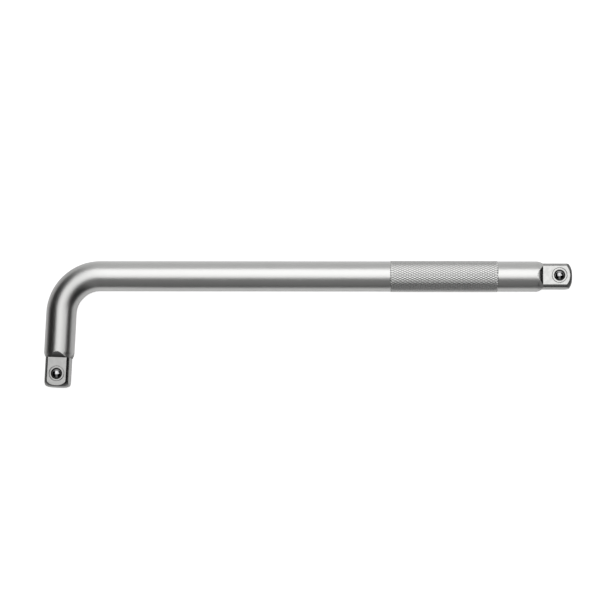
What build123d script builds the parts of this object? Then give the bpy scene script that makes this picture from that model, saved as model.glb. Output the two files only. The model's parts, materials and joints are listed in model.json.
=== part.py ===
from build123d import *
import math
import os

# L-handle for square-drive sockets: one round bar, bent near one end, with a drive square
# and a sprung detent ball at each tip. It lies flat: +X along the long arm, the short leg
# towards -Y, both balls facing +Z. Lengths are in millimetres, angles in degrees.

# Bar, measured along its centreline from the corner where the two arms' axes cross
bar_diameter = 16.0
long_arm_length = 268.0
short_arm_length = 59.0
bend_radius = 20.4
short_arm_lean_angle = 2.1

# Drive square, the same at both tips but for the rounding at its end
square_across_flats = 12.7
square_length = 15.5
shoulder_radius = 7.3
shoulder_start_angle = 14.0
long_tip_face_diameter = 4.0
long_tip_round_length = 3.2
short_tip_face_diameter = 8.0
short_tip_round_length = 2.9

# Knurled grip band
knurl_length = 56.4
knurl_to_tip = 38.9
knurl_height = 0.2
knurl_chamfer_length = 0.5

# Ball pocket, staked shut round the ball
ball_to_tip = 6.9
ball_diameter = 6.0
bore_clearance = 0.05
lip_mouth_diameter = 5.8
lip_throat_diameter = 5.2
lip_depth = 0.3
lip_gap = 0.03
pocket_depth = 9.0
stake_ring_diameter = 7.8
stake_ring_width = 0.35
stake_ring_depth = 0.15

# Detent spring
wire_diameter = 0.5
coil_mean_diameter = 4.6
coil_turns = 4
ground_depth = 0.1
coil_to_ball_gap = 0.05

# How far a cutter runs past the surface that it cuts
overrun = 1.0

bar_radius = bar_diameter / 2
half_flats = square_across_flats / 2
ball_radius = ball_diameter / 2
bore_radius = ball_radius + bore_clearance
throat_radius = lip_throat_diameter / 2
wire_radius = wire_diameter / 2
coil_radius = coil_mean_diameter / 2

# The shoulder is a convex arc from the bar's surface down to each flat
shoulder_centre_height = bar_radius - shoulder_radius * math.cos(math.radians(shoulder_start_angle))
shoulder_end_angle = math.degrees(math.acos((half_flats - shoulder_centre_height) / shoulder_radius))
shoulder_run = shoulder_radius * (
    math.sin(math.radians(shoulder_end_angle)) - math.sin(math.radians(shoulder_start_angle))
)

# At rest the ball stands in the lip's throat, and one press takes it flush with the flat
ball_depth = lip_depth + math.sqrt(ball_radius**2 - throat_radius**2) + lip_gap
ball_travel = ball_radius - ball_depth
ball_height = half_flats - ball_depth
pocket_floor_height = half_flats - pocket_depth

# Places along the arms, and the two tips' own frames: x outwards, z up
corner = Vector(0, 0, 0)
long_direction = Vector(1, 0, 0)
short_direction = Vector(0, -1, 0).rotate(Axis.Z, -short_arm_lean_angle)
long_tip = corner + long_direction * long_arm_length
short_tip = corner + short_direction * short_arm_length
tip_frames = {
    "long_drive": Plane(origin=long_tip, x_dir=long_direction, z_dir=(0, 0, 1)),
    "short_drive": Plane(origin=short_tip, x_dir=short_direction, z_dir=(0, 0, 1)),
}
tip_roundings = {
    "long_drive": (long_tip_face_diameter / 2, long_tip_round_length),
    "short_drive": (short_tip_face_diameter / 2, short_tip_round_length),
}


def bar_blank():
    """The bent round bar, up to where the turned tips begin."""
    long_end = long_tip - long_direction * long_tip_round_length
    short_end = short_tip - short_direction * short_tip_round_length
    path = FilletPolyline(long_end, corner, short_end, radius=bend_radius)
    section = Plane(origin=long_end, z_dir=-long_direction) * Circle(bar_radius)
    bar = sweep(section, path=path)
    expected = path.length * math.pi * bar_radius**2
    print("bar blank volume over section times length", round(bar.volume / expected, 6))
    return bar


def turned_tip(face_radius, round_length):
    """The rounded end of the bar, in the tip's own frame."""
    rise = bar_radius - face_radius
    round_radius = (rise**2 + round_length**2) / (2 * round_length)
    half_turn = math.atan2(rise, round_radius - round_length) / 2
    middle = (
        -round_radius * (1 - math.cos(half_turn)),
        face_radius + round_radius * math.sin(half_turn),
    )
    start = (-round_length, bar_radius)
    rounding = ThreePointArc(start, middle, (0, face_radius))
    rest = Polyline((0, face_radius), (0, 0), (-round_length, 0), start)
    return revolve(Plane.XZ * make_face(rounding + rest), axis=Axis.X)


def flat_cutter():
    """What is milled off above one flat, with the convex shoulder at its inner end."""
    outside = bar_radius + overrun
    start = -square_length - shoulder_run
    middle_angle = math.radians((shoulder_start_angle + shoulder_end_angle) / 2)
    centre = start - shoulder_radius * math.sin(math.radians(shoulder_start_angle))
    middle = (
        centre + shoulder_radius * math.sin(middle_angle),
        shoulder_centre_height + shoulder_radius * math.cos(middle_angle),
    )
    shoulder = ThreePointArc((start, bar_radius), middle, (-square_length, half_flats))
    rest = Polyline(
        (-square_length, half_flats),
        (overrun, half_flats),
        (overrun, outside),
        (start, outside),
        (start, bar_radius),
    )
    return extrude(Plane.XZ * make_face(shoulder + rest), amount=outside, both=True)


def pocket_cutter():
    """The ball's blind pocket, drilled down from the upper flat."""
    outline = Polyline(
        (0, half_flats + overrun),
        (lip_mouth_diameter / 2, half_flats + overrun),
        (lip_mouth_diameter / 2, half_flats),
        (throat_radius, half_flats - lip_depth),
        (bore_radius, half_flats - lip_depth - (bore_radius - throat_radius)),
        (bore_radius, pocket_floor_height),
        (0, pocket_floor_height),
        close=True,
    )
    pocket = revolve(Plane.XZ * make_face(outline), axis=Axis.Z)
    return Pos(-ball_to_tip, 0, 0) * pocket


def stake_ring_cutter():
    """The shallow ring that the staking punch leaves round the lip."""
    inner = (stake_ring_diameter - stake_ring_width) / 2
    outer = (stake_ring_diameter + stake_ring_width) / 2
    outline = Polyline(
        (inner, half_flats),
        (stake_ring_diameter / 2, half_flats - stake_ring_depth),
        (outer, half_flats),
        (outer, half_flats + overrun),
        (inner, half_flats + overrun),
        close=True,
    )
    ring = revolve(Plane.XZ * make_face(outline), axis=Axis.Z)
    return Pos(-ball_to_tip, 0, 0) * ring


def knurl_band():
    """The grip band's plain envelope over the crests of its knurl, chamfered at both ends."""
    start = -knurl_to_tip - knurl_length
    crest_radius = bar_radius + knurl_height
    outline = Polyline(
        (start, 0),
        (start, bar_radius),
        (start + knurl_chamfer_length, crest_radius),
        (-knurl_to_tip - knurl_chamfer_length, crest_radius),
        (-knurl_to_tip, bar_radius),
        (-knurl_to_tip, 0),
        close=True,
    )
    band = revolve(Plane.XZ * make_face(outline), axis=Axis.X)
    return tip_frames["long_drive"] * band


def make_handle_bar():
    """The whole bar: one solid with both squares, both pockets and the grip band."""
    bar = bar_blank() + knurl_band()
    for name, frame in tip_frames.items():
        bar += frame * turned_tip(*tip_roundings[name])
    for frame in tip_frames.values():
        for quarter in range(4):
            bar -= frame * (Rot(X=90 * quarter) * flat_cutter())
        bar -= frame * pocket_cutter()
        bar -= frame * stake_ring_cutter()
    return bar


def make_ball(frame):
    """The detent ball, standing in its lip."""
    return frame * (Pos(-ball_to_tip, 0, ball_height) * Sphere(ball_radius))


def biarc(start, start_way, end, end_way):
    """Two arcs, tangent to each other and to both ways, from start to end."""
    chord = end - start
    ways = start_way + end_way
    spread = 2 * (1 - start_way.dot(end_way))
    along = chord.dot(ways)
    reach = (math.sqrt(along**2 + spread * chord.dot(chord)) - along) / spread
    first_corner = start + start_way * reach
    second_corner = end - end_way * reach
    joint = (first_corner + second_corner) / 2
    return [
        TangentArc(start, joint, tangent=start_way),
        TangentArc(joint, end, tangent=second_corner - first_corner),
    ]


def make_spring(frame):
    """The open-ended coil spring under the ball, its lower end ground flat on the floor."""
    low = pocket_floor_height + wire_radius - ground_depth
    seat = math.sqrt((ball_radius + wire_radius + coil_to_ball_gap) ** 2 - coil_radius**2)
    high = ball_height - seat
    quarters = 4 * coil_turns
    rise = (high - low) / (coil_turns * math.tau)

    def place(angle):
        return Vector(coil_radius * math.cos(angle), coil_radius * math.sin(angle), low + rise * angle)

    def way(angle):
        return Vector(-coil_radius * math.sin(angle), coil_radius * math.cos(angle), rise).normalized()

    angles = [math.tau / 4 * step for step in range(quarters + 1)]
    path = Curve()
    for here, there in zip(angles, angles[1:]):
        for arc in biarc(place(here), way(here), place(there), way(there)):
            path += arc
    section = Plane(origin=place(0), z_dir=way(0)) * Circle(wire_radius)
    coil = sweep(section, path=path)
    print(
        "spring length", round(path.length, 2),
        "volume over section times length",
        round(coil.volume / (path.length * math.pi * wire_radius**2), 5),
        "least gap between turns", round(least_turn_gap(place), 3),
    )
    below = Pos(0, 0, pocket_floor_height) * Cylinder(
        bore_radius, overrun, align=(Align.CENTER, Align.CENTER, Align.MAX)
    )
    return frame * (Pos(-ball_to_tip, 0, 0) * (coil - below))


def least_turn_gap(place):
    """The least free space between points of the wire that are over half a turn apart."""
    steps_per_turn = 48
    points = [place(math.tau * step / steps_per_turn) for step in range(coil_turns * steps_per_turn + 1)]
    apart = steps_per_turn // 2
    nearest = min(
        (points[far] - points[near]).length
        for near in range(len(points) - apart)
        for far in range(near + apart, len(points))
    )
    return nearest - wire_diameter


handle_bar = make_handle_bar()
nodes = {"handle_bar": handle_bar}
for name, frame in tip_frames.items():
    nodes[f"{name}_ball"] = make_ball(frame)
    nodes[f"{name}_spring"] = make_spring(frame)

# The surface it lies on is z = 0, under the middle of its outline
box = handle_bar.bounding_box()
to_rest = Pos(-box.center().X, -box.center().Y, -box.min.Z)

os.makedirs("parts", exist_ok=True)
for name, solid in nodes.items():
    export_step(to_rest * solid, f"parts/{name}.step")

# What the record quotes, in the part's own frame
def told(place):
    """A place or direction, rounded for reading."""
    return [round(value, 5) for value in place]


resting = to_rest.position
print("overall size", told(box.size), "corner of the axes", told(resting + corner))
for name, frame in tip_frames.items():
    pocket = resting + frame.origin - frame.x_dir * ball_to_tip
    print(name, "tip", told(resting + frame.origin), "outwards", told(frame.x_dir))
    print(name, "pocket axis", told(pocket), "floor at z", round(pocket.Z + pocket_floor_height, 4))
band_middle = long_tip - long_direction * (knurl_to_tip + knurl_length / 2)
print("knurl band middle", told(resting + band_middle), "crest radius", bar_radius + knurl_height)
print("ball travel", round(ball_travel, 4), "shoulder run", round(shoulder_run, 3))
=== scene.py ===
import json
import math
import bmesh
import bpy
from mathutils import Matrix, Vector
from mathutils.geometry import intersect_line_line


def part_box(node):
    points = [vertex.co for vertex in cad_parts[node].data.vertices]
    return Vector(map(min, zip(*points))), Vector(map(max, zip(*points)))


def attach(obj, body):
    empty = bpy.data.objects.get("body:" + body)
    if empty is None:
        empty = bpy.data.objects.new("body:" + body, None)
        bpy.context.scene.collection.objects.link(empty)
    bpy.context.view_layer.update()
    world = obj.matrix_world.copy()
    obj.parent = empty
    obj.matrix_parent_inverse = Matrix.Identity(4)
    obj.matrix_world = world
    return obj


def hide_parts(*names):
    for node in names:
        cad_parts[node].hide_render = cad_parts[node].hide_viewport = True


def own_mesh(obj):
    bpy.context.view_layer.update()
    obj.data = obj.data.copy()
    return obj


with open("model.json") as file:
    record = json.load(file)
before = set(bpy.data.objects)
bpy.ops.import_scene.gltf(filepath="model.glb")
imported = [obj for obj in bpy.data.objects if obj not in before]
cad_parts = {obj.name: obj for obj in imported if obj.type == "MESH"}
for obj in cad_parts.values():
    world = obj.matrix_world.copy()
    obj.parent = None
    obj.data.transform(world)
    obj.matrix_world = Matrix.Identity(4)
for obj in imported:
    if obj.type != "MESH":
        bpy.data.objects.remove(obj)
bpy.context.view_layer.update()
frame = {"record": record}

mm = 0.001
up = Vector((0, 0, 1))
mounts = {mount["name"]: mount for mount in frame["record"]["mounts"]}


# Where things are, as the frame gives them: both tips, both arms' axes and what is in each pocket
def readDrive(name):
    low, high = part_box(name + "_ball")
    springLow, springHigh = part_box(name + "_spring")
    tip = Vector(mounts[name]["pos_m"])
    return {
        "name": name,
        "tip": tip,
        "outwards": Vector(mounts[name]["axis"]).normalized(),
        "ballCentre": (low + high) / 2,
        "ballRadius": (high.z - low.z) / 2,
        "halfFlats": tip.z - mounts[name + "_flat"]["pos_m"][2],
        "floorHeight": springLow.z,
        "springTop": springHigh.z,
        "joint": name.replace("drive", "ball") + "_press",
        "ballBody": name.replace("drive", "ball"),
    }


longDrive = readDrive("long_drive")
shortDrive = readDrive("short_drive")
drives = [longDrive, shortDrive]
arms = [(drive["tip"], drive["tip"] - drive["outwards"]) for drive in drives]
corner = intersect_line_line(*arms[0], *arms[1])[0]

bar = {
    "radius": mounts["shank"]["dims"]["r_mm"] * mm,
    "bendRadius": 20.4 * mm,
    "halfQuarter": 12,             # points from the middle of a flat to the middle of a corner
    "straightStep": 8 * mm,
    "bendStep": math.radians(1.8),
    "sharpAngle": math.radians(30),
}
square = {
    "length": 15.5 * mm,
    "shoulderRadius": 7.3 * mm,
    "shoulderStart": math.radians(14),
    "edgeBreak": 0.06 * mm,        # reach of the rounding between a flat and the turned surface
    "footBreak": 0.06 * mm,        # and in the corner between a flat and its shoulder
    # each tip: the radius of its face, how far in its rounding goes, how brightly its upper flat
    # is ground (kept low on the short leg as painted shade, where the key light falls off), and how much
    # painted shade darkens that flat and the foot of the shoulder
    "long_drive": {
        "faceRadius": 2.0 * mm, "roundLength": 3.2 * mm,
        "groundShare": 1.0, "flatPaintedShade": 0.0, "footPaintedShade": 0.15,
    },
    "short_drive": {
        "faceRadius": 4.0 * mm, "roundLength": 2.9 * mm,
        "groundShare": 0.5, "flatPaintedShade": 0.14, "footPaintedShade": 0.65,
    },
    "faceMiddle": 0.5,             # the inner ring on a tip's face, as a share of its radius
    "supportAngle": math.radians(1),
    "evenBelow": math.radians(6),  # under this edge angle the points are spread evenly
    "trackAbove": math.radians(20),  # and over this one they follow the edge
}
# How close together the rings of a drive end are, from the tip inwards
spacing = {
    "domeRings": 8,
    "edgeReach": 0.16 * mm,        # finest within this of where the flat begins
    "edgeStep": 0.045 * mm,
    "curveEnd": 3.55 * mm,         # the flat's edge curves as far in as this
    "curveStep": 0.1 * mm,
    "flatStep": 0.4 * mm,
    "neckStep": 1.0 * mm,          # between the pocket and the shoulder
    "footReach": 0.35 * mm,        # and finer again within this of the shoulder's foot
    "footStep": 0.07 * mm,
    "shoulderEnd": 0.1 * mm,       # up to here past the shoulder
    "shoulderStep": 0.2 * mm,
    "runOutEnd": 1.9 * mm,         # and up to here past it
    "runOutStep": 0.45 * mm,
}
pocket = {
    "patchStart": 2.45 * mm,       # the flat is opened from here to here, in from the tip, for the pocket
    "patchEnd": 11.35 * mm,
    "patchPoint": 5,               # and as far to each side as this point of the half quarter
    "points": 96,
    # in mm from here on: painted shadow darkens the mouth inside this radius, the flat's grinding
    # ends at this depth, and the staked groove is rubbed between these
    "shadowRadius": 2.95,
    "groundDepth": 0.02,
    "rubbedDepths": (0.01, 0.04),
    # radius and depth of each ring: flat, staked groove, rolled lip, throat, bore
    "rings": [
        (4.22, 0), (4.10, 0), (4.04, 0.02), (3.96, 0.07), (3.90, 0.09), (3.84, 0.07), (3.76, 0.02),
        (3.70, 0), (3.10, 0), (2.98, 0.012), (2.90, 0.05), (2.62, 0.28), (2.60, 0.32), (2.63, 0.37),
        (3.05, 0.80), (3.05, 3.2), (3.05, 6.0), (3.05, 9.0), (1.5, 9.0),
    ],
}
knurl = {
    "middle": Vector(mounts["knurled_grip"]["pos_m"]),
    "length": 56.4 * mm,
    "crestRadius": mounts["knurled_grip"]["dims"]["r_mm"] * mm,
    "rootRadius": 8.0 * mm,
    "runOut": 0.5 * mm,
    "diamondsRound": 38,
    "diamondsLong": 22,
    # size and height of each step of a diamond, as shares of its whole, from root to crest
    "stepShares": [(1.0, 0.0), (0.88, 0.12), (0.44, 0.9), (0.22, 1.0)],
    "endPeakShare": 0.2,           # in diamonds from the band's end, where the half ones peak
    "turnedBy": 0.25,              # in diamonds, so that the top lies midway between two rows
}
weldDistance = 0.001 * mm


def smoothStep(low, high, value):
    share = min(max((value - low) / (high - low), 0), 1)
    return share * share * (3 - 2 * share)


# The lower of two surfaces, rounded where they cross, and how far into the rounding a point is
def roundedMin(first, second, reach):
    closeness = max(reach - abs(first - second), 0) / reach
    return min(first, second) - closeness * closeness * reach / 4, closeness


# The radius of the arc that rounds a tip off
def roundRadius(tip):
    rise = bar["radius"] - tip["faceRadius"]
    return (rise ** 2 + tip["roundLength"] ** 2) / (2 * tip["roundLength"])


def turnedRadius(depth, tip):
    arc = roundRadius(tip)
    inside = min(depth, arc)
    dome = tip["faceRadius"] + math.sqrt(inside * (2 * arc - inside))
    return roundedMin(dome, bar["radius"], square["edgeBreak"])


def shoulderCentre():
    return bar["radius"] - square["shoulderRadius"] * math.cos(square["shoulderStart"])


# How far in from the tip the shoulder meets the bar's surface
def shoulderDepth():
    foot = math.acos((longDrive["halfFlats"] - shoulderCentre()) / square["shoulderRadius"])
    run = square["shoulderRadius"] * (math.sin(foot) - math.sin(square["shoulderStart"]))
    return square["length"] + run


# The height of a flat over the bar's axis, rising along the shoulder's arc behind the square
def flatHeight(depth, halfFlats):
    start = shoulderDepth()
    centreDepth = start + square["shoulderRadius"] * math.sin(square["shoulderStart"])
    back = min(centreDepth - depth, square["shoulderRadius"])
    if depth > start:
        height = bar["radius"] + (depth - start) * math.tan(square["shoulderStart"])
    else:
        height = shoulderCentre() + math.sqrt(square["shoulderRadius"] ** 2 - back * back)
    return -roundedMin(-height, -halfFlats, square["footBreak"])[0]


# Angles from the middle of a flat to the middle of a corner, gathered along the flat's edge
def quarterAngles(depth=None, drive=None):
    count = bar["halfQuarter"]
    even = [math.radians(45) * (step + 0.5) / (count - 0.5) for step in range(count)]
    if drive is None:
        return even
    radius = turnedRadius(depth, square[drive["name"]])[0]
    height = flatHeight(depth, drive["halfFlats"])
    if height >= radius:
        return even
    edge = math.acos(height / radius)
    steepness = height * math.tan(edge) / math.cos(edge)
    reach = min(square["edgeBreak"] / max(steepness, square["edgeBreak"]), edge / 2)
    support = min(square["supportAngle"], edge / 4)
    inner = edge - reach - support
    atEdge = [edge - reach, edge - reach / 3, edge + reach / 3, edge + reach]
    outside = [edge + reach + support, math.radians(45)]
    wide = count - len(atEdge) - len(outside)
    tracked = [inner * (step + 0.5) / (wide - 0.5) for step in range(wide)] + atEdge + outside
    share = smoothStep(square["evenBelow"], square["trackAbove"], edge)
    return [a + (b - a) * share for a, b in zip(even, tracked)]


# What the finishes read at each point: rubbed edges, ground flats, machined places, and painted shade
maskNames = ("edgeWear", "flatShare", "machined", "paintedShade")


def addVertex(mesh, place, masks):
    vertex = mesh.verts.new(place)
    for name, value in zip(maskNames, masks):
        vertex[mesh.verts.layers.float[name]] = value
    return vertex


# The radius and the masks of a point of a drive end, turned first and then cut to a square
def drivePoint(drive, depth, angle, isUpper):
    tip = square[drive["name"]]
    turned, turnedWear = turnedRadius(depth, tip)
    face = flatHeight(depth, drive["halfFlats"]) / math.cos(angle)
    radius, faceWear = roundedMin(turned, face, square["edgeBreak"])
    cutAway = face < turned
    bare = 1 if cutAway or depth < square["length"] else 0
    # the last mask is painted shade: on the short leg's upper flat, and at the shoulder's foot for the
    # dark room it mirrors
    level, shadeShare = 0, 0
    if cutAway and depth < square["length"]:
        level, shadeShare = (tip["groundShare"], tip["flatPaintedShade"]) if isUpper else (1, 0)
    elif cutAway:
        shadeShare = tip["footPaintedShade"] * smoothStep(shoulderDepth(), square["length"], depth)
    return radius, (max(turnedWear, faceWear), level, bare, shadeShare)


# One ring round the bar: points from the middle of one corner, a quarter at a time
def addRing(mesh, centre, along, depth=None, drive=None):
    side = up.cross(along).normalized()
    angles = quarterAngles(depth, drive)
    quarter = [-angle for angle in reversed(angles)] + angles[:-1]
    ring = []
    for turn in range(4):
        for angle in quarter:
            radius, masks = bar["radius"], (0, 0, 0, 0)
            if drive:
                radius, masks = drivePoint(drive, depth, angle, turn == 0)
            around = angle + turn * math.pi / 2
            place = centre + (up * math.cos(around) + side * math.sin(around)) * radius
            ring.append(addVertex(mesh, place, masks))
    return ring


def bridge(mesh, first, second, skip=range(0)):
    count = len(first)
    for here in range(count):
        if here in skip:
            continue
        there = (here + 1) % count
        mesh.faces.new((first[here], second[here], second[there], first[there]))


def loopEdges(mesh, ring):
    return [mesh.edges.get(pair) or mesh.edges.new(pair) for pair in zip(ring, ring[1:] + ring[:1])]


def fan(mesh, ring, place):
    middle = mesh.verts.new(place)
    for here, there in zip(ring, ring[1:] + ring[:1]):
        mesh.faces.new((here, there, middle))


# Even steps of about this size from the start on, without the end itself
def steps(start, end, size):
    count = max(1, round((end - start) / size))
    return [start + (end - start) * step / count for step in range(count)]


# Depths of the rings of a drive end, in from the tip: close together where the shape turns
def driveDepths(drive):
    tip = square[drive["name"]]
    arc = roundRadius(tip)
    flatRise = drive["halfFlats"] - tip["faceRadius"]
    flatStart = arc - math.sqrt(arc ** 2 - flatRise ** 2)
    here = flatStart - spacing["edgeReach"]
    domeEnd = math.acos(1 - here / arc)
    count = spacing["domeRings"]
    depths = [arc * (1 - math.cos(domeEnd * step / count)) for step in range(count)]
    stretches = [
        (flatStart + spacing["edgeReach"], spacing["edgeStep"]),
        (pocket["patchStart"], spacing["curveStep"]),
        (spacing["curveEnd"], spacing["curveStep"]),
        (pocket["patchEnd"], spacing["flatStep"]),
        (square["length"] - spacing["footReach"], spacing["neckStep"]),
        (square["length"] + spacing["footReach"], spacing["footStep"]),
        (shoulderDepth() + spacing["shoulderEnd"], spacing["shoulderStep"]),
        (shoulderDepth() + spacing["runOutEnd"], spacing["runOutStep"]),
    ]
    for there, step in stretches:
        depths += steps(here, there, step)
        here = there
    return depths + [here]


# Which points of a ring the opened part of the upper flat lies between
def patchSides():
    return bar["halfQuarter"] - 1 - pocket["patchPoint"], bar["halfQuarter"] + pocket["patchPoint"]


# The ball's pocket: its mouth replaces part of the upper flat
def addPocket(mesh, drive, rings, depths):
    left, right = patchSides()
    low, high = pocket["patchStart"] - weldDistance, pocket["patchEnd"] + weldDistance
    inside = [i for i, depth in enumerate(depths) if low < depth < high]
    border = [rings[inside[0]][point] for point in range(left, right + 1)]
    border += [rings[i][right] for i in inside[1:]]
    border += [rings[inside[-1]][point] for point in range(right - 1, left - 1, -1)]
    border += [rings[i][left] for i in reversed(inside[1:-1])]
    edges = loopEdges(mesh, border)
    flatTop = Vector((drive["ballCentre"].x, drive["ballCentre"].y, drive["tip"].z + drive["halfFlats"]))
    tip = square[drive["name"]]
    shallow, deep = pocket["rubbedDepths"]
    previous = None
    for radius, depth in pocket["rings"]:
        rubbed = 1 if shallow < depth < deep else 0
        level = tip["groundShare"] if depth < pocket["groundDepth"] else 0
        # painted shadow: the mouth and throat inside this radius are darkened as the gap round the ball
        shadeShare = 1 if radius < pocket["shadowRadius"] else tip["flatPaintedShade"]
        ring = []
        for point in range(pocket["points"]):
            angle = math.tau * point / pocket["points"]
            offset = Vector((math.cos(angle), math.sin(angle), 0)) * radius * mm
            place = flatTop + offset - up * depth * mm
            ring.append(addVertex(mesh, place, (rubbed, level, 1, shadeShare)))
        if previous:
            bridge(mesh, previous, ring)
        else:
            edges += loopEdges(mesh, ring)
        previous = ring
    fan(mesh, previous, flatTop - up * pocket["rings"][-1][1] * mm)
    bmesh.ops.triangle_fill(mesh, edges=edges, use_beauty=True, normal=up)


# A drive end, from its tip to the plain bar: gives its last ring and how far in that is
def addDriveEnd(mesh, drive):
    depths = driveDepths(drive)
    left, right = patchSides()
    along = -drive["outwards"]
    rings = []
    for depth in depths:
        centre = drive["tip"] + along * depth
        rings.append(addRing(mesh, centre, along, depth, drive))
    for first, second, depth in zip(rings, rings[1:], depths):
        opened = pocket["patchStart"] - weldDistance < depth < pocket["patchEnd"] - weldDistance
        bridge(mesh, first, second, range(left, right) if opened else range(0))
    middle = addRing(mesh, drive["tip"], along)
    share = square["faceMiddle"] * square[drive["name"]]["faceRadius"] / bar["radius"]
    for vertex in middle:
        vertex.co = drive["tip"] + (vertex.co - drive["tip"]) * share
    bridge(mesh, middle, rings[0])
    fan(mesh, middle, drive["tip"])
    addPocket(mesh, drive, rings, depths)
    return rings[-1], depths[-1]


def addNextRing(mesh, previous, centre, along):
    ring = addRing(mesh, centre, along)
    if previous:
        bridge(mesh, previous, ring)
    return ring


# The plain bar from one drive end to the other, but for the grip band
def addBar(mesh, longRing, shortRing, endDepth):
    longWay = -longDrive["outwards"]
    shortWay = shortDrive["outwards"]
    turn = longWay.angle(shortWay)
    tangent = bar["bendRadius"] * math.tan(turn / 2)
    inwards = up.cross(longWay)
    bendCentre = corner - longWay * tangent + inwards * bar["bendRadius"]
    longLength = (corner - longDrive["tip"]).length
    shortLength = (corner - shortDrive["tip"]).length
    gripStart = (longDrive["tip"] - knurl["middle"]).length - knurl["length"] / 2
    gripEnd = gripStart + knurl["length"]
    previous = longRing
    for depth in steps(endDepth, gripStart, bar["straightStep"])[1:] + [gripStart]:
        previous = addNextRing(mesh, previous, longDrive["tip"] + longWay * depth, longWay)
    previous = None
    for depth in steps(gripEnd, longLength - tangent, bar["straightStep"]):
        previous = addNextRing(mesh, previous, longDrive["tip"] + longWay * depth, longWay)
    for angle in steps(0, turn, bar["bendStep"]) + [turn]:
        swing = Matrix.Rotation(angle, 3, "Z")
        centre = bendCentre - swing @ inwards * bar["bendRadius"]
        previous = addNextRing(mesh, previous, centre, swing @ longWay)
    for depth in reversed(steps(endDepth, shortLength - tangent, bar["straightStep"])[1:]):
        previous = addNextRing(mesh, previous, shortDrive["tip"] - shortWay * depth, shortWay)
    bmesh.ops.bridge_loops(mesh, edges=loopEdges(mesh, previous) + loopEdges(mesh, shortRing))


# Node helpers: a value is a socket to link or a plain number to set
def setSocket(tree, socket, value):
    if isinstance(value, bpy.types.NodeSocket):
        tree.links.new(value, socket)
    else:
        socket.default_value = value


def addNode(tree, kind, inputs=None, **settings):
    node = tree.nodes.new(kind)
    for name, value in settings.items():
        setattr(node, name, value)
    for name, value in (inputs or {}).items():
        setSocket(tree, node.inputs[name], value)
    return node


def compute(tree, operation, *values, clamp=False):
    inputs = dict(enumerate(values))
    return addNode(tree, "ShaderNodeMath", inputs, operation=operation, use_clamp=clamp).outputs[0]


def computeVector(tree, operation, *values, scale=None):
    inputs = dict(enumerate(values))
    if scale is not None:
        inputs["Scale"] = scale
    return addNode(tree, "ShaderNodeVectorMath", inputs, operation=operation).outputs


def splitVector(tree, vector):
    return addNode(tree, "ShaderNodeSeparateXYZ", {0: vector}).outputs


def joinVector(tree, x=0.0, y=0.0, z=0.0):
    return addNode(tree, "ShaderNodeCombineXYZ", {"X": x, "Y": y, "Z": z}).outputs[0]


def finishMesh(mesh, name):
    data = bpy.data.meshes.new(name)
    mesh.to_mesh(data)
    mesh.free()
    return data


def shapeObject(mesh, name):
    return bpy.data.objects.new(name, finishMesh(mesh, name))


# The shapes that the knurl repeats, one diamond wide: a stepped diamond, and half of one for the ends
def diamondShape():
    mesh = bmesh.new()
    previous = None
    for size, height in knurl["stepShares"]:
        half = size / 2
        corners = ((half, 0), (0, half), (-half, 0), (0, -half))
        ring = [mesh.verts.new((x, y, height)) for x, y in corners]
        if previous:
            bridge(mesh, previous, ring)
        previous = ring
    mesh.faces.new(previous)
    return shapeObject(mesh, "diamondShape")


def endDiamondShape():
    mesh = bmesh.new()
    border = [mesh.verts.new(place) for place in ((0, -0.5, 0), (0.5, 0, 0), (0, 0.5, 0), (0, 0, 0))]
    fan(mesh, border, (knurl["endPeakShare"], 0, 1))
    return shapeObject(mesh, "endDiamondShape")


def instanceShapes(tree, points, shape, scale, turn=0.0):
    return addNode(tree, "GeometryNodeInstanceOnPoints", {
        "Points": points, "Instance": shape, "Scale": scale, "Rotation": (0, 0, turn),
    }).outputs[0]


# Rows of diamonds laid out flat, one unit of Y for each diamond round, with half ones at both ends
def layDiamonds(tree, given, halfLength):
    long, around = given["Diamonds Long"], given["Diamonds Round"]
    length = compute(tree, "DIVIDE", given["Band Length"], long)
    rows = compute(tree, "SUBTRACT", around, 1.0)
    scale = joinVector(tree, length, 1.0, 1.0)
    diamond, endDiamond = [
        addNode(tree, "GeometryNodeObjectInfo", {"Object": given[name]}).outputs["Geometry"]
        for name in ("Diamond", "End Diamond")
    ]
    parts = []
    for lanes, offset in ((compute(tree, "SUBTRACT", long, 1.0), 0.0), (long, 0.5)):
        gaps = compute(tree, "SUBTRACT", lanes, 1.0)
        grid = addNode(tree, "GeometryNodeMeshGrid", {
            "Size X": compute(tree, "MULTIPLY", gaps, length), "Size Y": rows,
            "Vertices X": lanes, "Vertices Y": around,
        }).outputs["Mesh"]
        moved = addNode(tree, "GeometryNodeTransform", {
            "Geometry": grid, "Translation": (0, offset, 0),
        }).outputs[0]
        parts.append(instanceShapes(tree, moved, diamond, scale))
    firstRow = compute(tree, "DIVIDE", rows, -2.0)
    for sign, turn in ((-1.0, 0.0), (1.0, math.pi)):
        edge = compute(tree, "MULTIPLY", halfLength, sign)
        line = addNode(tree, "GeometryNodeMeshLine", {
            "Count": around, "Start Location": joinVector(tree, edge, firstRow), "Offset": (0, 1, 0),
        }).outputs[0]
        parts.append(instanceShapes(tree, line, endDiamond, scale, turn))
    joined = addNode(tree, "GeometryNodeJoinGeometry")
    for part in parts:
        tree.links.new(part, joined.inputs[0])
    return addNode(tree, "GeometryNodeRealizeInstances", {"Geometry": joined.outputs[0]}).outputs[0]


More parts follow.
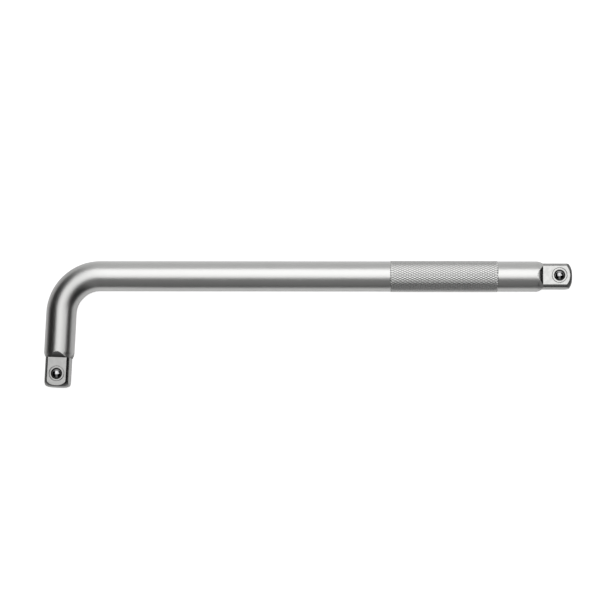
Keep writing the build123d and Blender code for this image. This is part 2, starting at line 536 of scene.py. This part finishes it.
# The knurl's node group: the flat rows, rolled round the bar
def knurlTree():
    tree = bpy.data.node_groups.new("diamondKnurl", "GeometryNodeTree")
    sockets = [
        ("Diamond", "NodeSocketObject"), ("End Diamond", "NodeSocketObject"),
        ("Diamonds Round", "NodeSocketInt"), ("Diamonds Long", "NodeSocketInt"),
        ("Band Length", "NodeSocketFloat"), ("Bar Radius", "NodeSocketFloat"),
        ("Crest Radius", "NodeSocketFloat"), ("Root Radius", "NodeSocketFloat"),
        ("Run Out", "NodeSocketFloat"), ("Weld", "NodeSocketFloat"),
        ("Middle", "NodeSocketVector"), ("Material", "NodeSocketMaterial"),
    ]
    tree.interface.new_socket("Geometry", in_out="OUTPUT", socket_type="NodeSocketGeometry")
    for name, kind in sockets:
        tree.interface.new_socket(name, in_out="INPUT", socket_type=kind)
    given = addNode(tree, "NodeGroupInput").outputs
    halfLength = compute(tree, "DIVIDE", given["Band Length"], 2.0)
    flat = layDiamonds(tree, given, halfLength)
    place = splitVector(tree, addNode(tree, "GeometryNodeInputPosition").outputs[0])
    fromEnd = compute(tree, "SUBTRACT", halfLength, compute(tree, "ABSOLUTE", place["X"]))
    full = compute(tree, "DIVIDE", fromEnd, given["Run Out"], clamp=True)
    hollow = compute(tree, "MULTIPLY", compute(tree, "SUBTRACT", 1.0, place["Z"]), full)
    stored = addNode(tree, "GeometryNodeStoreNamedAttribute", {
        "Geometry": flat, "Name": "crestShare", "Value": compute(tree, "SUBTRACT", 1.0, hollow),
    }).outputs[0]
    height = compute(tree, "SUBTRACT", given["Crest Radius"], given["Root Radius"])
    level = compute(tree, "MULTIPLY_ADD", place["Z"], height, given["Root Radius"])
    proud = compute(tree, "SUBTRACT", level, given["Bar Radius"])
    radius = compute(tree, "MULTIPLY_ADD", proud, full, given["Bar Radius"])
    counted = compute(tree, "ADD", place["Y"], knurl["turnedBy"])
    angle = compute(tree, "MULTIPLY", compute(tree, "DIVIDE", counted, given["Diamonds Round"]), math.tau)
    rolled = joinVector(
        tree, place["X"],
        compute(tree, "MULTIPLY", compute(tree, "SINE", angle), radius),
        compute(tree, "MULTIPLY", compute(tree, "COSINE", angle), radius),
    )
    made = stored
    for kind, name, value in (
        ("SetPosition", "Position", computeVector(tree, "ADD", rolled, given["Middle"])[0]),
        ("MergeByDistance", "Distance", given["Weld"]),
        ("SetMaterial", "Material", given["Material"]),
    ):
        made = addNode(tree, "GeometryNode" + kind, {"Geometry": made, name: value}).outputs[0]
    addNode(tree, "NodeGroupOutput", {"Geometry": made})
    return tree


def makeKnurl(material):
    tree = knurlTree()
    shapes = [diamondShape(), endDiamondShape()]
    holder = bpy.data.objects.new("knurlHolder", bpy.data.meshes.new("knurlHolder"))
    bpy.context.scene.collection.objects.link(holder)
    modifier = holder.modifiers.new("diamondKnurl", "NODES")
    modifier.node_group = tree
    values = {
        "Diamond": shapes[0], "End Diamond": shapes[1],
        "Diamonds Round": knurl["diamondsRound"], "Diamonds Long": knurl["diamondsLong"],
        "Band Length": knurl["length"], "Bar Radius": bar["radius"],
        "Crest Radius": knurl["crestRadius"], "Root Radius": knurl["rootRadius"],
        "Run Out": knurl["runOut"], "Weld": weldDistance,
        "Middle": knurl["middle"], "Material": material,
    }
    for item in tree.interface.items_tree:
        if item.in_out == "INPUT":
            modifier[item.identifier] = values[item.name]
    seen = bpy.context.evaluated_depsgraph_get()
    shown = holder.evaluated_get(seen)
    made = bpy.data.meshes.new_from_object(shown, preserve_all_data_layers=True, depsgraph=seen)
    for thing in [holder] + shapes:
        bpy.data.objects.remove(thing)
    print("knurl:", len(made.polygons), "faces")
    return made


texture = {
    # detail and roughness of each noise
    "grain": (3.0, 0.6),
    "cloud": (3.0, 0.55),
    "patches": (2.0, 0.5),
    "patchWear": (0.9, 0.35),      # rubbing counts this times the patches, plus this
}


# Shader groups that several finishes share
def startGroup(name, inputs, outputs):
    group = bpy.data.node_groups.new(name, "ShaderNodeTree")
    for socket, kind, value in inputs:
        made = group.interface.new_socket(socket, in_out="INPUT", socket_type="NodeSocket" + kind)
        if value is not None:
            made.default_value = value
    for socket in outputs:
        group.interface.new_socket(socket, in_out="OUTPUT", socket_type="NodeSocketFloat")
    return group, addNode(group, "NodeGroupInput").outputs


def noise(tree, vector, scale, detail, roughness):
    return addNode(tree, "ShaderNodeTexNoise", {
        "Vector": vector, "Scale": scale, "Detail": detail, "Roughness": roughness,
    }).outputs["Fac"]


# Fine blasted or ground grain, and the slow clouding of the plating over it
def grainGroup():
    group, given = startGroup("finishGrain", [
        ("Vector", "Vector", None),
        ("Grains Per Metre", "Float", 3000.0), ("Clouds Per Metre", "Float", 60.0),
    ], ["Grain", "Cloud"])
    grain = noise(group, given["Vector"], given["Grains Per Metre"], *texture["grain"])
    cloud = noise(group, given["Vector"], given["Clouds Per Metre"], *texture["cloud"])
    addNode(group, "NodeGroupOutput", {"Grain": grain, "Cloud": cloud})
    return group


# Where use has rubbed the finish smooth, broken up by a patchy noise
def wearGroup():
    group, given = startGroup("rubbedEdges", [
        ("Vector", "Vector", None), ("Edge", "Float", 0.0), ("Patches Per Metre", "Float", 900.0),
    ], ["Wear"])
    patches = noise(group, given["Vector"], given["Patches Per Metre"], *texture["patches"])
    broken = compute(group, "MULTIPLY_ADD", patches, *texture["patchWear"])
    wear = compute(group, "MULTIPLY", given["Edge"], broken, clamp=True)
    addNode(group, "NodeGroupOutput", {"Wear": wear})
    return group


groups = {"grain": grainGroup(), "wear": wearGroup()}


# A plain metal in the slot's colour, for the finish to build on
def startMaterial(name, slotColour):
    material = bpy.data.materials.new(name)
    material.use_nodes = True
    tree = material.node_tree
    shader = tree.nodes["Principled BSDF"]
    shader.inputs["Metallic"].default_value = 1.0
    shader.inputs["Base Color"].default_value = (*slotColour, 1)
    material.diffuse_color = (*slotColour, 1)
    place = addNode(tree, "ShaderNodeTexCoord").outputs["Object"]
    return material, tree, shader, place


def placeGroup(tree, key, inputs):
    return addNode(tree, "ShaderNodeGroup", inputs, node_tree=groups[key]).outputs


def placeGrain(tree, place, finish):
    return placeGroup(tree, "grain", {
        "Vector": place,
        "Grains Per Metre": finish["grainsPerMetre"], "Clouds Per Metre": finish["cloudsPerMetre"],
    })


def addBump(tree, shader, height, finish):
    bump = addNode(tree, "ShaderNodeBump", {
        "Height": height, "Distance": finish["bumpDistance"], "Strength": finish["bumpStrength"],
    })
    tree.links.new(bump.outputs[0], shader.inputs["Normal"])


def attribute(tree, name):
    return addNode(tree, "ShaderNodeAttribute", attribute_name=name).outputs["Fac"]


def between(tree, value, low, high):
    return addNode(tree, "ShaderNodeMapRange", {
        "Value": value, "From Min": 0.0, "From Max": 1.0, "To Min": low, "To Max": high,
    }).outputs["Result"]


def ramp(tree, value, start, end, low, high):
    return addNode(tree, "ShaderNodeMapRange", {
        "Value": value, "From Min": start, "From Max": end, "To Min": low, "To Max": high,
    }, interpolation_type="SMOOTHSTEP").outputs["Result"]


# The mix node's sockets go by number, because those for numbers and colours share their names
def mixNumber(tree, share, first, second):
    return addNode(tree, "ShaderNodeMix", {0: share, 2: first, 3: second}, data_type="FLOAT").outputs[0]


# A colour between two others, each a colour or a socket
def mixColour(tree, share, first, second):
    mix = addNode(tree, "ShaderNodeMix", {0: share}, data_type="RGBA")
    for index, colour in ((6, first), (7, second)):
        isSocket = isinstance(colour, bpy.types.NodeSocket)
        setSocket(tree, mix.inputs[index], colour if isSocket else (*colour, 1))
    return mix.outputs[2]


slotColours = {entry["slot"]: entry["base_color"] for entry in frame["record"]["materials"]}


def shade(colour, share):
    return tuple(min(value * share, 1) for value in colour)


def mixTints(tree, share, colour, tints):
    return mixColour(tree, share, shade(colour, tints[0]), shade(colour, tints[1]))


satinFinish = {
    "roughness": (0.30, 0.37),
    "wornRoughness": -0.10,
    "grainsPerMetre": 4200,
    "cloudsPerMetre": 70,
    "cloudTints": (0.97, 1.03),
    "bumpDistance": 0.010 * mm,
    "bumpStrength": 0.35,
    "legShadeEnds": (-126 * mm, -104 * mm),  # darker from here to here towards the short leg: painted shade where the key light falls off
    "legShadeTint": 0.83,
}
knurlFinish = {
    "rootShadeTint": 0.58,              # painted shade darkens the grooves
    "rootSpan": (0.06, 0.40),      # up to these shares of the crests' height
}
driveFinish = {
    "turnedRoughness": (0.20, 0.26),
    "groundRoughness": (0.30, 0.46),
    "wornRoughness": -0.08,
    "grainsPerMetre": 2600,
    "cloudsPerMetre": 420,
    "turnedTints": (0.66, 0.80),
    "groundTints": (0.84, 1.00),
    "cloudSpan": (0.36, 0.64),     # the part of the cloud noise that the ground flats show
    # painted shade: near black and rougher, for the pocket's mouth, the short leg's upper flat and the
    # shoulders' feet
    "shadeColour": (0.03, 0.028, 0.025),
    "shadeRoughness": 0.6,
}


# Satin chrome over blasted steel, brighter where it was machined and clouded where it was ground;
# painted shade darkens the short leg, the pocket's mouth, the short leg's upper flat and the shoulders'
# feet
def makeBarChrome():
    base = slotColours["satin_chrome"]
    material, tree, shader, place = startMaterial("satinChrome", base)
    satin = placeGrain(tree, place, satinFinish)
    cut = placeGrain(tree, place, driveFinish)
    machined = attribute(tree, "machined")
    flat = attribute(tree, "flatShare")
    shadeMask = attribute(tree, "paintedShade")
    wear = placeGroup(tree, "wear", {"Vector": place, "Edge": attribute(tree, "edgeWear")})["Wear"]

    turned = between(tree, cut["Cloud"], *driveFinish["turnedRoughness"])
    ground = between(tree, cut["Cloud"], *driveFinish["groundRoughness"])
    cutRough = mixNumber(tree, flat, turned, ground)
    satinRough = between(tree, satin["Cloud"], *satinFinish["roughness"])
    rough = mixNumber(tree, machined, satinRough, cutRough)
    worn = compute(tree, "MULTIPLY_ADD", wear, driveFinish["wornRoughness"], rough)
    shadedRough = mixNumber(tree, shadeMask, worn, driveFinish["shadeRoughness"])
    tree.links.new(shadedRough, shader.inputs["Roughness"])

    clouded = mixTints(tree, satin["Cloud"], base, satinFinish["cloudTints"])
    bright = mixTints(tree, cut["Cloud"], base, driveFinish["turnedTints"])
    patches = ramp(tree, cut["Cloud"], *driveFinish["cloudSpan"], 0.0, 1.0)
    patchy = mixTints(tree, patches, base, driveFinish["groundTints"])
    cutColour = mixColour(tree, flat, bright, patchy)
    fresh = mixColour(tree, machined, clouded, cutColour)
    # painted shade: the colour darkens towards the short leg
    along = splitVector(tree, place)["X"]
    legShade = ramp(tree, along, *satinFinish["legShadeEnds"], satinFinish["legShadeTint"], 1.0)
    colour = mixColour(tree, legShade, (0, 0, 0), fresh)
    # the last mask paints shade near black
    shadedColour = mixColour(tree, shadeMask, colour, driveFinish["shadeColour"])
    tree.links.new(shadedColour, shader.inputs["Base Color"])

    height = mixNumber(tree, machined, satin["Grain"], cut["Grain"])
    addBump(tree, shader, height, satinFinish)
    return material


# The same chrome on the knurl, rubbed smooth on the crests, with painted shade in the grooves
def makeKnurlChrome():
    base = slotColours["satin_chrome"]
    material, tree, shader, place = startMaterial("knurlChrome", base)
    satin = placeGrain(tree, place, satinFinish)
    crest = attribute(tree, "crestShare")
    wear = placeGroup(tree, "wear", {"Vector": place, "Edge": crest})["Wear"]
    rough = between(tree, satin["Cloud"], *satinFinish["roughness"])
    worn = compute(tree, "MULTIPLY_ADD", wear, satinFinish["wornRoughness"], rough)
    tree.links.new(worn, shader.inputs["Roughness"])
    clouded = mixTints(tree, satin["Cloud"], base, satinFinish["cloudTints"])
    # painted shade: the grooves darker than the crests
    unshadedShare = ramp(tree, crest, *knurlFinish["rootSpan"], 0.0, 1.0)
    colour = mixColour(tree, unshadedShare, shade(base, knurlFinish["rootShadeTint"]), clouded)
    tree.links.new(colour, shader.inputs["Base Color"])
    addBump(tree, shader, satin["Grain"], satinFinish)
    return material


ballFinish = {
    "roughness": (0.05, 0.10),
    "tints": (0.76, 0.90),
    "grainsPerMetre": 1500,
    "cloudsPerMetre": 500,
}
springFinish = {
    "roughness": (0.28, 0.42),
    "tints": (0.85, 1.10),
    "grainsPerMetre": 6000,
    "cloudsPerMetre": 900,
    "bumpDistance": 0.010 * mm,
    "bumpStrength": 0.4,
}


# Plain steel for the balls and the springs, clouded, and with a grain where the finish has one
def makeSteel(name, slot, finish):
    base = slotColours[slot]
    material, tree, shader, place = startMaterial(name, base)
    grain = placeGrain(tree, place, finish)
    tree.links.new(between(tree, grain["Cloud"], *finish["roughness"]), shader.inputs["Roughness"])
    clouded = mixTints(tree, grain["Cloud"], base, finish["tints"])
    tree.links.new(clouded, shader.inputs["Base Color"])
    if "bumpStrength" in finish:
        addBump(tree, shader, grain["Grain"], finish)
    return material


def showObject(mesh, name, materials):
    mesh.name = name
    made = bpy.data.objects.new(name, mesh)
    for material in materials:
        mesh.materials.append(material)
    bpy.context.scene.collection.objects.link(made)
    return made


# The bar as one mesh: both drive ends, the plain lengths and the knurl
def makeHandle():
    materials = [makeBarChrome(), makeKnurlChrome()]
    knurlMesh = makeKnurl(materials[1])
    mesh = bmesh.new()
    for name in (*maskNames, "crestShare"):
        mesh.verts.layers.float.new(name)
    longRing, endDepth = addDriveEnd(mesh, longDrive)
    shortRing = addDriveEnd(mesh, shortDrive)[0]
    driveFaces = len(mesh.faces)
    addBar(mesh, longRing, shortRing, endDepth)
    plainFaces = len(mesh.faces)
    mesh.from_mesh(knurlMesh)
    mesh.faces.ensure_lookup_table()
    for face in mesh.faces[plainFaces:]:
        face.material_index = 1
    bmesh.ops.remove_doubles(mesh, verts=mesh.verts, dist=weldDistance)
    bmesh.ops.recalc_face_normals(mesh, faces=mesh.faces)
    gaps = [edge for edge in mesh.edges if len(edge.link_faces) != 2]
    print("handle:", len(mesh.faces), "faces,", driveFaces, "in the drive ends,", len(gaps), "open edges")
    print("handle volume", round(mesh.calc_volume() / mm**3), "cubic mm")
    for face in mesh.faces:
        face.smooth = face.material_index == 0
    data = finishMesh(mesh, "handleBar")
    bpy.data.meshes.remove(knurlMesh)
    data.set_sharp_from_angle(angle=bar["sharpAngle"])
    handle = showObject(data, "handleBar", materials)
    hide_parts("handle_bar")
    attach(handle, "handle")


ballShape = {"cuts": 23}


# A detent ball, as a cube of square patches blown up to a sphere, so that it has no poles
def makeBall(drive, material):
    mesh = bmesh.new()
    bmesh.ops.create_cube(mesh, size=2)
    bmesh.ops.subdivide_edges(mesh, edges=mesh.edges, cuts=ballShape["cuts"], use_grid_fill=True)
    for vertex in mesh.verts:
        vertex.co = drive["ballCentre"] + vertex.co.normalized() * drive["ballRadius"]
    for face in mesh.faces:
        face.smooth = True
    ball = showObject(finishMesh(mesh, "ball"), drive["ballBody"] + "Steel", [material])
    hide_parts(drive["name"] + "_ball")
    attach(ball, drive["ballBody"])


spring = {
    "wireRadius": 0.25 * mm,
    "coilRadius": 2.3 * mm,
    "turns": 4,
    "groundDepth": 0.1 * mm,
    "stepsPerTurn": 32,
    "wirePoints": 10,
    "sharpAngle": math.radians(50),
}


# The spring under a ball, with its lower end ground flat on the pocket's floor
def makeSpring(drive, material):
    sideways = up.cross(drive["outwards"])
    low = drive["floorHeight"] + spring["wireRadius"] - spring["groundDepth"]
    high = drive["springTop"] - spring["wireRadius"]
    count = spring["turns"] * spring["stepsPerTurn"]
    rise = (high - low) / (spring["turns"] * math.tau)
    mesh = bmesh.new()
    previous = None
    first = None
    for step in range(count + 1):
        angle = math.tau * step / spring["stepsPerTurn"]
        radial = drive["outwards"] * math.cos(angle) + sideways * math.sin(angle)
        forwards = sideways * math.cos(angle) - drive["outwards"] * math.sin(angle)
        middle = Vector((drive["ballCentre"].x, drive["ballCentre"].y, low + rise * angle))
        centre = middle + radial * spring["coilRadius"]
        along = forwards * spring["coilRadius"] + up * rise
        across = along.normalized().cross(radial)
        ring = []
        for point in range(spring["wirePoints"]):
            turn = math.tau * point / spring["wirePoints"]
            place = centre + (radial * math.cos(turn) + across * math.sin(turn)) * spring["wireRadius"]
            place.z = max(place.z, drive["floorHeight"])
            ring.append(mesh.verts.new(place))
        if previous:
            bridge(mesh, previous, ring)
        else:
            first = ring
        previous = ring
    mesh.faces.new(first)
    mesh.faces.new(previous)
    bmesh.ops.recalc_face_normals(mesh, faces=mesh.faces)
    for face in mesh.faces:
        face.smooth = True
    data = finishMesh(mesh, "spring")
    data.set_sharp_from_angle(angle=spring["sharpAngle"])
    coil = showObject(data, drive["name"].replace("_drive", "Spring"), [material])
    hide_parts(drive["name"] + "_spring")
    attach(coil, "handle")
    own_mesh(coil)


makeHandle()
ballSteel = makeSteel("polishedBall", "polished_ball", ballFinish)
springSteel = makeSteel("springSteel", "spring_steel", springFinish)
for drive in drives:
    makeBall(drive, ballSteel)
    makeSpring(drive, springSteel)
print("balls and springs made")

studio = {
    "floorRadius": 12.0,
    "floorPoints": 96,
    "floorRoughness": 0.9,
    "floorColour": (0.60, 0.60, 0.60),
    "floorLift": 0.90,             # added for camera rays, so that the lit floor shows as white
    "glossLift": 0.35,             # and for reflections
    # the metal sees the floor fully lit as far from an arm as the first of these, and at this
    # share from the second on; each arm ends this much early, and past its end distances count
    # so many times
    "glowEnds": (29 * mm, 81 * mm),
    "farGlow": 0.16,
    "glowShort": 14 * mm,
    "glowPast": {"long_drive": 3.0, "short_drive": 1.9},
    # and behind the tool it brightens again, from here to here and to this share
    "behindEnds": (35 * mm, 60 * mm),
    "behindGlow": 0.86,
    # a wide softbox hangs overhead
    "keyAim": Vector((-0.025, 0.025, 0.008)),
    "keyDistance": 0.70,
    "keyTilt": math.radians(15.5),   # from overhead towards +Y, the back
    "keySize": (0.91, 0.96),
    "keySpread": math.radians(124),
    "keyPower": 1.90,
    # the room brightens to these levels between these directions, and darkens to both sides
    "backEnds": (0.32, 0.93),
    "backLevel": 0.58,
    "backSides": (0.2, 0.8),
    "frontEnds": (-0.04, -0.52),
    "frontLevel": 0.24,
    "frontSides": (0.0, 0.5),
    # and its front is dimmer towards the horizon: from here to here, and the share there
    "frontLow": (0.0, 0.35, 0.35),
    # a narrow softbox, higher up, carries on from the right edge of the key
    "sideAim": Vector((0.95, 0.16, 0)),
    "sideDistance": 1.00,
    "sideTilt": 0,
    "sideSize": (0.70, 0.40),
    "sideSpread": math.radians(160),
    "sidePower": 1.10,
}


# How far a place is from an arm's centreline, where lengths past its ends count for more
def armGroup():
    group, given = startGroup("distanceToArm", [
        ("Vector", "Vector", None), ("Start", "Vector", None), ("Way", "Vector", None),
        ("Length", "Float", 0.1), ("Past Weight", "Float", 1.0),
    ], ["Distance"])
    offset = computeVector(group, "SUBTRACT", given["Vector"], given["Start"])[0]
    along = computeVector(group, "DOT_PRODUCT", offset, given["Way"])["Value"]
    inside = compute(group, "MINIMUM", compute(group, "MAXIMUM", along, 0.0), given["Length"])
    past = compute(group, "SUBTRACT", along, inside)
    extra = compute(group, "MULTIPLY", past, compute(group, "SUBTRACT", given["Past Weight"], 1.0))
    counted = compute(group, "SUBTRACT", inside, extra)
    nearest = computeVector(group, "SCALE", given["Way"], scale=counted)[0]
    away = computeVector(group, "SUBTRACT", offset, nearest)[0]
    addNode(group, "NodeGroupOutput", {"Distance": computeVector(group, "LENGTH", away)["Value"]})
    return group


groups["arm"] = armGroup()


# The floor: white to the camera, but bright only near the tool and behind it where metal mirrors it
def makeFloor():
    mesh = bmesh.new()
    points, radius = studio["floorPoints"], studio["floorRadius"]
    bmesh.ops.create_circle(mesh, cap_ends=True, segments=points, radius=radius)
    material = bpy.data.materials.new("paleFloor")
    material.use_nodes = True
    tree = material.node_tree
    shader = tree.nodes["Principled BSDF"]
    shader.inputs["Roughness"].default_value = studio["floorRoughness"]
    shader.inputs["Specular IOR Level"].default_value = 0.0
    shader.inputs["Emission Color"].default_value = (1, 1, 1, 1)
    place = addNode(tree, "ShaderNodeTexCoord").outputs["Object"]
    start = Vector((corner.x, corner.y, 0))
    reaches = []
    for drive in drives:
        reaches.append(placeGroup(tree, "arm", {
            "Vector": place, "Start": start, "Way": drive["outwards"],
            "Length": (drive["tip"] - corner).length - studio["glowShort"],
            "Past Weight": studio["glowPast"][drive["name"]],
        })["Distance"])
    near = ramp(tree, compute(tree, "MINIMUM", *reaches), *studio["glowEnds"], 1.0, studio["farGlow"])
    depth = splitVector(tree, place)["Y"]
    behind = ramp(tree, depth, *studio["behindEnds"], 0.0, studio["behindGlow"])
    glow = compute(tree, "MAXIMUM", near, behind)
    path = addNode(tree, "ShaderNodeLightPath").outputs
    glossy = compute(tree, "MAXIMUM", path["Is Glossy Ray"], path["Is Transmission Ray"])
    share = mixNumber(tree, glossy, 1.0, glow)
    tree.links.new(mixColour(tree, share, (0, 0, 0), studio["floorColour"]), shader.inputs["Base Color"])
    lift = compute(tree, "MULTIPLY", path["Is Camera Ray"], studio["floorLift"])
    glossLift = compute(tree, "MULTIPLY", glossy, studio["glossLift"])
    total = compute(tree, "MULTIPLY", compute(tree, "MAXIMUM", lift, glossLift), share)
    tree.links.new(total, shader.inputs["Emission Strength"])
    floor = showObject(finishMesh(mesh, "floor"), "floor", [material])


# A softbox over the tool, which the chrome mirrors and the camera doesn't see
def makeSoftbox(name):
    light = bpy.data.lights.new(name + "Softbox", "AREA")
    light.shape = "RECTANGLE"
    light.size, light.size_y = studio[name + "Size"]
    light.spread = studio[name + "Spread"]
    light.energy = studio[name + "Power"]
    lamp = bpy.data.objects.new(name + "Softbox", light)
    bpy.context.scene.collection.objects.link(lamp)
    towards = Vector((0, math.sin(studio[name + "Tilt"]), math.cos(studio[name + "Tilt"])))
    lamp.location = studio[name + "Aim"] + towards * studio[name + "Distance"]
    lamp.rotation_mode = "QUATERNION"
    lamp.rotation_quaternion = (-towards).to_track_quat("-Z", "Y")
    lamp.visible_camera = False


# The room: grey behind the tool, dim in front of it and dark to the sides, but white to the camera
def makeWorld():
    world = bpy.data.worlds.new("studio")
    bpy.context.scene.world = world
    world.use_nodes = True
    tree = world.node_tree
    direction = addNode(tree, "ShaderNodeTexCoord").outputs["Generated"]
    way = splitVector(tree, direction)
    back = ramp(tree, way["Y"], *studio["backEnds"], 0.0, studio["backLevel"])
    front = ramp(tree, way["Y"], *studio["frontEnds"], 0.0, studio["frontLevel"])
    front = compute(tree, "MULTIPLY", front, ramp(tree, way["Z"], *studio["frontLow"], 1.0))
    aside = compute(tree, "ABSOLUTE", way["X"])
    back = compute(tree, "MULTIPLY", back, ramp(tree, aside, *studio["backSides"], 1.0, 0.0))
    front = compute(tree, "MULTIPLY", front, ramp(tree, aside, *studio["frontSides"], 1.0, 0.0))
    room = compute(tree, "ADD", back, front)
    seen = addNode(tree, "ShaderNodeLightPath").outputs["Is Camera Ray"]
    tree.links.new(compute(tree, "MAXIMUM", room, seen), tree.nodes["Background"].inputs["Strength"])
    tree.nodes["Background"].inputs["Color"].default_value = (1, 1, 1, 1)


makeFloor()
makeSoftbox("key")
makeSoftbox("side")
makeWorld()
print("studio made")

cameraView = {
    "aim": Vector((-3.943, 12.916, 8.2)) * mm,
    "distance": 1050 * mm,
    "yaw": math.radians(1.888),
    "pitch": math.radians(-6.196),
    "roll": math.radians(0.276),
    "lens": 119.62,
    "clips": (0.05, 100),
}


# Looking down on the tool, a little from the front and the right
def makeCamera():
    yaw, pitch = cameraView["yaw"], cameraView["pitch"]
    back = Vector((math.sin(yaw) * math.cos(pitch), math.sin(pitch), math.cos(yaw) * math.cos(pitch)))
    right = Vector((0, 1, 0)).cross(back).normalized()
    turned = Matrix.Rotation(cameraView["roll"], 3, back) @ right
    camera = bpy.data.objects.new("camera", bpy.data.cameras.new("camera"))
    bpy.context.scene.collection.objects.link(camera)
    camera.data.lens = cameraView["lens"]
    camera.data.clip_start, camera.data.clip_end = cameraView["clips"]
    camera.location = cameraView["aim"] + back * cameraView["distance"]
    camera.rotation_mode = "QUATERNION"
    axes = Matrix((turned, back.cross(turned), back)).transposed()
    camera.rotation_quaternion = axes.to_quaternion()
    bpy.context.scene.camera = camera


makeCamera()
bpy.context.scene.view_settings.view_transform = "Standard"
